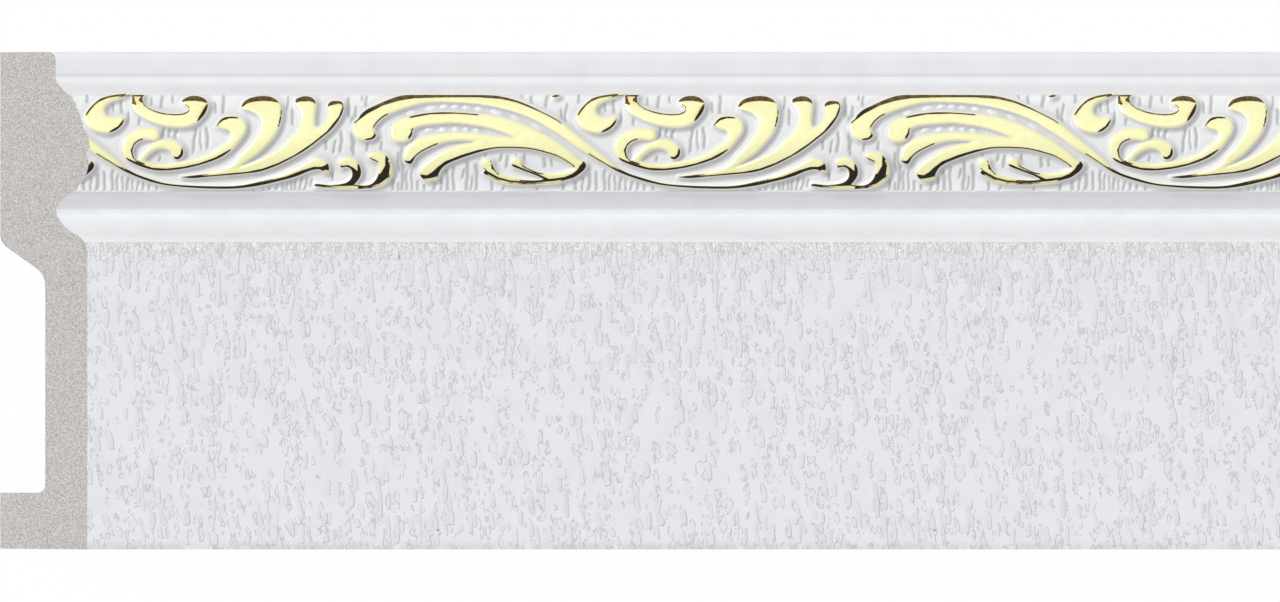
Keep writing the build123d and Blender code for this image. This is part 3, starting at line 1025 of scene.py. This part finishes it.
class SKIRTING_OT_board(bpy.types.Operator):
    """Gives the board its white coat, with raw foam on the back and the cut ends"""

    bl_idname = "skirting.board"
    bl_label = "Coat the board"

    def execute(self, context):
        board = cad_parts["skirting_board"]
        finish = board_finish("white_coat_on_foam")
        for material_slot in board.material_slots:
            material_slot.material = finish
        return {"FINISHED"}


class SKIRTING_OT_ground(bpy.types.Operator):
    """Moulds the crackled ground of the band, with the white shoulders of the leaves"""

    bl_idname = "skirting.ground"
    bl_label = "Mould the band's ground"

    def grooves(self, places, repeat):
        """How far each place lies in a drawn groove, from 0 to 1."""
        u, v = places.T
        result = np.zeros(len(places))
        for number, (top_u, top_v, foot_u, foot_v, width) in enumerate(GROOVES):
            runs_out = foot_v < 0.0
            share = (top_v - v) / (top_v - foot_v)
            along = smooth_step(share * 6.0) * smooth_step((1.0 - share) * 6.0 + runs_out * 2.0)
            along *= (share > 0.0) & ((share < 1.0) | runs_out)
            wave = 0.13 * np.sin(v * 0.9 + number) + 0.05 * np.sin(v * 2.3 + 2.0 * number)
            for shift in (-repeat, 0.0, repeat):
                middle = top_u + shift + share * (foot_u - top_u) + wave
                across = np.clip(1.0 - np.abs(u - middle) / (GROOVE_SPREAD * width), 0.0, 1.0)
                result = np.maximum(result, smooth_step(across) * along)
        return result

    def beads(self, places):
        """How far each place lies on a bead, and on the ring round it that is painted with shade, from 0 to 1.
        """
        u, v = places.T
        bead, painted_shade_ring = np.zeros(len(places)), np.zeros(len(places))
        for bead_u, bead_v, half in BEADS:
            lean = BEAD_BEND * (BEAD_MIDDLE - bead_u)
            away = np.hypot((u - bead_u) / half, (v - bead_v - lean * (u - bead_u)) / BEAD_HALF_WIDTH)
            bead = np.maximum(bead, smooth_step((1.35 - away) / 0.8))
            painted_shade_ring = np.maximum(painted_shade_ring, smooth_step((3.1 - away) / 1.2))
        return bead, painted_shade_ring

    def members(self, places, sizes):
        """For each place its distance from the leaves, and how far it lies on their slope and in a groove."""
        repeat = sizes.repeat / MM
        distance = scroll_distance(places, repeat)
        leaning = scroll_distance(places - SLOPE_LEAN, repeat)
        slope = np.clip(1.0 - (leaning - 0.05) / (sizes.shoulder / MM), 0.0, 1.0)
        slope = np.maximum(slope, np.clip(1.0 - (distance - 0.05) / 0.4, 0.0, 1.0))
        groove = self.grooves(places, repeat) * (smooth_step((distance - 0.3) / 0.4) * (1.0 - 0.7 * slope))
        return distance, slope, groove

    def relief(self, places, sizes):
        """Height of the ground over the plain field."""
        _, slope, groove = self.members(places, sizes)
        ground = sizes.ground_height / MM
        height = ground + sizes.leaf_height / MM * slope - GROOVE_CUT * ground * groove
        height += BEAD_RISE * self.beads(places)[0]
        return height * smooth_step((FIELD_HEIGHT + 0.2 - places[:, 1]) / 0.45)

    def painted_shades(self, places, sizes):
        """Painted shade on the coat: grey in the grooves, round the leaves, round the beads and on the leaves'
        sides away from the light, and none on the beads, which are painted as lit.
        """
        distance, _, groove = self.members(places, sizes)
        bead, painted_shade_ring = self.beads(places)
        painted_valley_shade = smooth_step(distance / 0.5) * (1.0 - smooth_step((distance - 0.7) / 0.9))
        lee = np.zeros(len(places))
        for reach, share, softness in LEE_SIDES:
            away = scroll_distance(places - reach, sizes.repeat / MM)
            lee += share * (1.0 - smooth_step(away / softness))
        lee *= smooth_step(distance / 0.1)
        # Painted shade: grooves, the ground next to the leaves, their lee and the ground round the beads are
        # greyed, and the beads cleared as a painted highlight
        return np.clip(0.04 + groove + 0.18 * painted_valley_shade + lee + 0.14 * painted_shade_ring - 1.8 * bead, 0.0, 1.0)

    def execute(self, context):
        sizes = context.scene.board_sizes
        thickness, steps, coarse_share = 0.35, (400, 80), 0.085
        places, triangles = grid((0.0, -0.2), (sizes.repeat / MM, FIELD_HEIGHT + 0.2), steps)
        field = field_depth(places[:, 1])
        tops = field + self.relief(places, sizes)
        up = places + (0.0, LIP_HEIGHT + FOOT)
        fine = mesh_of("ground", *walled(up, tops, field - thickness, triangles))
        coarse = thinned(fine, coarse_share)
        finish = coat_finish("white_coat")
        for mesh in (fine, coarse):
            point_value(mesh, "painted_shade", self.painted_shades(on_band(mesh), sizes))
            finished(mesh, finish, angle=50)
        lay_repeats("band_ground", fine, coarse, "white_coat")
        return {"FINISHED"}


class SKIRTING_OT_scroll(bpy.types.Operator):
    """Lays the gilded scroll on its leaves"""

    bl_idname = "skirting.scroll"
    bl_label = "Gild the scroll"

    def painted_dark_reflection(self, places, distance, sizes):
        """Less than 0 where the foil is painted with a dark reflection: on the dark strokes and the leaf's rim
        beside them.
        """
        strokes = stroke_distance(places, PAINTED_DARK_REFLECTIONS)
        rim = np.maximum(strokes - 0.28, -distance - sizes.dark_reflection_rim / MM)
        return np.maximum(np.minimum(strokes - sizes.dark_reflection_spread / MM, rim), distance)

    def warm(self, places, distance):
        """How warm the foil's tint is: on the warm strokes, and along the leaves' edges as a painted reflection
        tint.
        """
        strokes = 1.0 - smooth_step(stroke_distance(places, WARM_FOIL) / 0.45)
        return np.maximum(strokes, 0.5 * (1.0 - smooth_step(-distance / 0.2)))

    def leaves(self, sizes):
        """The gilded leaves of one repeat as a mesh, with edges along their bevel and along the painted dark
        reflection strokes.
        """
        places, triangles = grid((-1.2, -0.3), (102.6, 18.9), (346, 120))
        distance = scroll_distance(places)
        values = np.column_stack([places, distance, self.painted_dark_reflection(places, distance, sizes)])
        bevel = 0.32
        reach = sizes.foil_reach / MM
        values, triangles = cut_triangles(values, triangles, 2, reach)
        triangles = triangles[values[triangles, 2].mean(axis=1) < reach]
        values, triangles = cut_triangles(values, triangles, 2, -bevel)
        values, triangles = cut_triangles(values, triangles, 3, 0.0)
        inward = np.clip(reach - values[:, 2], 0.0, None)
        crown = np.minimum(inward / bevel, 1.0) * 0.7 + 0.3 * (1.0 - np.exp(-inward / 0.8))
        field = field_depth(np.clip(values[:, 1], 0.0, FIELD_HEIGHT))
        base = (sizes.ground_height + sizes.leaf_height) / MM
        tops = field + base + 0.03 + sizes.foil_rise / MM * crown
        up = values[:, :2] + (0.0, LIP_HEIGHT + FOOT)
        return mesh_of("scroll", *walled(up, tops, field + 0.1, triangles))

    def execute(self, context):
        sizes = context.scene.board_sizes
        fine = self.leaves(sizes)
        coarse = thinned(fine, 0.11)
        finish = foil_finish("gold_foil")
        for mesh in (fine, coarse):
            places = on_band(mesh)
            distance = scroll_distance(places)
            point_value(mesh, "painted_dark_reflection", self.painted_dark_reflection(places, distance, sizes))
            point_value(mesh, "warm", self.warm(places, distance))
            finished(mesh, finish, angle=40)
        lay_repeats("gilded_scroll", fine, coarse, "gold_foil")
        return {"FINISHED"}


class SKIRTING_OT_drips(bpy.types.Operator):
    """Scatters the small raised drips over the plain face"""

    bl_idname = "skirting.drips"
    bl_label = "Scatter the drips"

    def drip(self, draw, corners):
        """Outline, length and width of one drip: a leaning capsule that narrows a little to one end."""
        lengths, widths = picked(draw, DRIP_KINDS)
        length = draw.uniform(*lengths)
        width = draw.uniform(*widths)
        lean = draw.gauss(0.10, 0.12)
        bend = draw.gauss(0.0, 0.10) * length
        taper = draw.uniform(0.75, 1.0)
        flip = draw.random() < 0.3
        straight = max(length - width, 0.0) / 2
        ring = []
        for corner in range(corners):
            angle = 2 * math.pi * corner / corners
            side, end = math.cos(angle), math.sin(angle)
            radius = width / 2 * (taper if (end < 0) != flip else 1.0)
            x = side * radius * (1.0 + 0.12 * draw.uniform(-1, 1))
            y = end * radius + (straight if end > 1e-6 else -straight if end < -1e-6 else 0.0)
            x += bend * ((y / (length / 2)) ** 2 - 0.5) * 0.5
            ring.append((x - y * math.tan(lean), y))
        return np.array(ring), length, width

    def spot(self, draw, repeat):
        """Where a drip lies: closer together at the top and the foot of the face."""
        (heights,) = picked(draw, DRIP_BELTS)
        height = draw.uniform(*heights)
        return draw.uniform(0.0, repeat), height

    def skin(self, first, corners):
        """Faces of one drip whose points start at a number: its sides, its top and its underside."""
        sides = []
        for corner in range(corners):
            here, following = first + corner, first + (corner + 1) % corners
            sides.append((here, following, following + corners, here + corners))
        top = tuple(range(first + corners, first + 2 * corners))
        underside = tuple(reversed(range(first, first + corners)))
        return sides + [top, underside]

    def shell(self, count, corners, sizes):
        """Points, faces and painted shade amounts of the drips of one repeat."""
        draw = random.Random(sizes.seed)
        points, faces, painted_shades = [], [], []
        last = (0.0, 0.0)
        for number in range(count):
            middle = self.spot(draw, sizes.repeat / MM)
            ring, length, width = self.drip(draw, corners)
            if draw.random() < CHAINED_SHARE and last[1] > length:
                aside = draw.gauss(0.12, 0.4) * length
                middle = (last[0] + aside, last[1] - draw.uniform(0.6, 1.05) * length)
            last = middle
            lowest, highest = length / 2 + 0.5, FACE_TEXTURE_TOP - 0.1 - length / 2
            middle_y = min(max(middle[1], lowest), highest) + FOOT
            rise = sizes.drip_rise / MM * draw.uniform(0.5, 1.25)
            inner = ring * (0.52, 1.0 - 0.48 * width / length)
            faces += self.skin(len(points), corners)
            for layer, height in ((ring, -DRIP_SUNK), (inner, rise)):
                for x, y in layer:
                    depth = float(face_depth(y + middle_y - FOOT))
                    points.append((x + middle[0], y + middle_y, depth + height))
            for painted_shade in DRIP_PAINTED_SHADES:
                painted_shades += [painted_shade] * corners
        return points, faces, painted_shades

    def execute(self, context):
        sizes = context.scene.board_sizes
        finish = coat_finish("white_coat_drips")
        meshes = []
        for corners, count in ((12, sizes.drip_count), (6, sizes.far_drip_count)):
            points, faces, painted_shades = self.shell(count, corners, sizes)
            mesh = mesh_of("drips", points, faces)
            point_value(mesh, "painted_shade", painted_shades)
            finished(mesh, finish)
            meshes.append(mesh)
        lay_repeats("face_drips", *meshes, "white_coat")
        return {"FINISHED"}


class SKIRTING_OT_stage(bpy.types.Operator):
    """Sets the pale floor, the soft light and the camera"""

    bl_idname = "skirting.stage"
    bl_label = "Set the stage"

    def floor(self):
        """A wide pale floor that shows white and still takes the board's shadow."""
        half = 30.0
        mesh = bpy.data.meshes.new("floor")
        corners = [(-half, -half, 0.0), (half, -half, 0.0), (half, half, 0.0), (-half, half, 0.0)]
        mesh.from_pydata(corners, [], [(0, 1, 2, 3)])
        mesh.materials.append(self.floor_finish())
        floor = bpy.data.objects.new("floor", mesh)
        floor.location.z = -0.4 * MM
        bpy.context.collection.objects.link(floor)

    def floor_finish(self):
        """A pale floor that glows where it is seen, and doesn't light the board with its glow."""
        bench = Bench("pale_floor")
        bench.surface("Base Color", (0.92, 0.92, 0.92))
        bench.surface("Roughness", 0.9)
        seen = bench.node("ShaderNodeLightPath", output="Is Camera Ray")
        seen = seen.either(seen.beside("Is Glossy Ray")).either(seen.beside("Is Transmission Ray"))
        body = Wire(bench, bench.shader.outputs[0])
        glow = bench.node("ShaderNodeEmission", {}, {"Color": (1.0, 1.0, 1.0), "Strength": 1.0})
        both = bench.node("ShaderNodeMixShader", {}, {0: seen * 0.98, 1: body, 2: glow})
        bench.feed(bench.tree.nodes["Material Output"].inputs["Surface"], both)
        return bench.material

    def light(self, stage):
        """An even sky and one soft lamp from the upper left."""
        world = bpy.data.worlds.new("even_sky")
        bpy.context.scene.world = world
        world.use_nodes = True
        nodes, links = world.node_tree.nodes, world.node_tree.links
        lit, backdrop = nodes["Background"], nodes.new("ShaderNodeBackground")
        for background, strength in ((lit, stage.sky), (backdrop, 1.0)):
            background.inputs["Color"].default_value = (1.0, 1.0, 1.0, 1.0)
            background.inputs["Strength"].default_value = strength
        rays, either = nodes.new("ShaderNodeLightPath"), nodes.new("ShaderNodeMixShader")
        links.new(rays.outputs["Is Camera Ray"], either.inputs[0])
        links.new(lit.outputs[0], either.inputs[1])
        links.new(backdrop.outputs[0], either.inputs[2])
        links.new(either.outputs[0], nodes["World Output"].inputs["Surface"])
        towards = Vector((-0.54, 0.36, 0.76)).normalized()
        lamp = bpy.data.lights.new("soft_lamp", "SUN")
        lamp.angle = math.radians(9.0)
        lamp.energy = math.pi * stage.sun / towards.z
        holder = bpy.data.objects.new("soft_lamp", lamp)
        holder.rotation_euler = towards.to_track_quat("Z", "Y").to_euler()
        bpy.context.collection.objects.link(holder)

    def camera(self, stage):
        """Looks straight at the front of the mitred end, from far off."""
        lens_data = bpy.data.cameras.new("camera")
        lens_data.lens = stage.lens
        lens_data.sensor_width = 36.0
        away = stage.view_width * stage.lens / lens_data.sensor_width
        lens_data.clip_end = 4.0 * away
        camera = bpy.data.objects.new("camera", lens_data)
        middle_y = (BOARD_LOW.y + BOARD_HIGH.y) / 2 + stage.view_y
        camera.location = (BOARD_LOW.x + stage.view_x, middle_y, BOARD_HIGH.z + away)
        bpy.context.collection.objects.link(camera)
        bpy.context.scene.camera = camera

    def execute(self, context):
        stage = context.scene.stage_sizes
        self.floor()
        self.light(stage)
        self.camera(stage)
        context.scene.view_settings.view_transform = "Standard"
        return {"FINISHED"}


class SKIRTING_PT_panel(bpy.types.Panel):
    """Sizes, colours and steps of the skirting board"""

    bl_idname = "SKIRTING_PT_panel"
    bl_label = "Skirting board"
    bl_space_type = "VIEW_3D"
    bl_region_type = "UI"
    bl_category = "Skirting"

    def draw(self, context):
        for group_name in GROUPS:
            group = getattr(context.scene, group_name)
            box = self.layout.box()
            for name in group.bl_rna.properties.keys():
                if name not in ("rna_type", "name"):
                    box.prop(group, name)
        for step in STEPS:
            self.layout.operator(step.bl_idname)


GROUPS = {"board_sizes": BoardSizes, "board_colours": BoardColours, "stage_sizes": StageSizes}
STEPS = (SKIRTING_OT_stage, SKIRTING_OT_board, SKIRTING_OT_ground, SKIRTING_OT_scroll, SKIRTING_OT_drips)


def register():
    for name, group in GROUPS.items():
        bpy.utils.register_class(group)
        setattr(bpy.types.Scene, name, bpy.props.PointerProperty(type=group))
    for step in STEPS + (SKIRTING_PT_panel,):
        bpy.utils.register_class(step)


def unregister():
    for step in reversed(STEPS + (SKIRTING_PT_panel,)):
        bpy.utils.unregister_class(step)
    for name, group in GROUPS.items():
        delattr(bpy.types.Scene, name)
        bpy.utils.unregister_class(group)


def main():
    register()
    bpy.ops.skirting.stage()
    bpy.ops.skirting.board()
    bpy.ops.skirting.ground()
    bpy.ops.skirting.scroll()
    bpy.ops.skirting.drips()


if __name__ == "__main__":
    main()
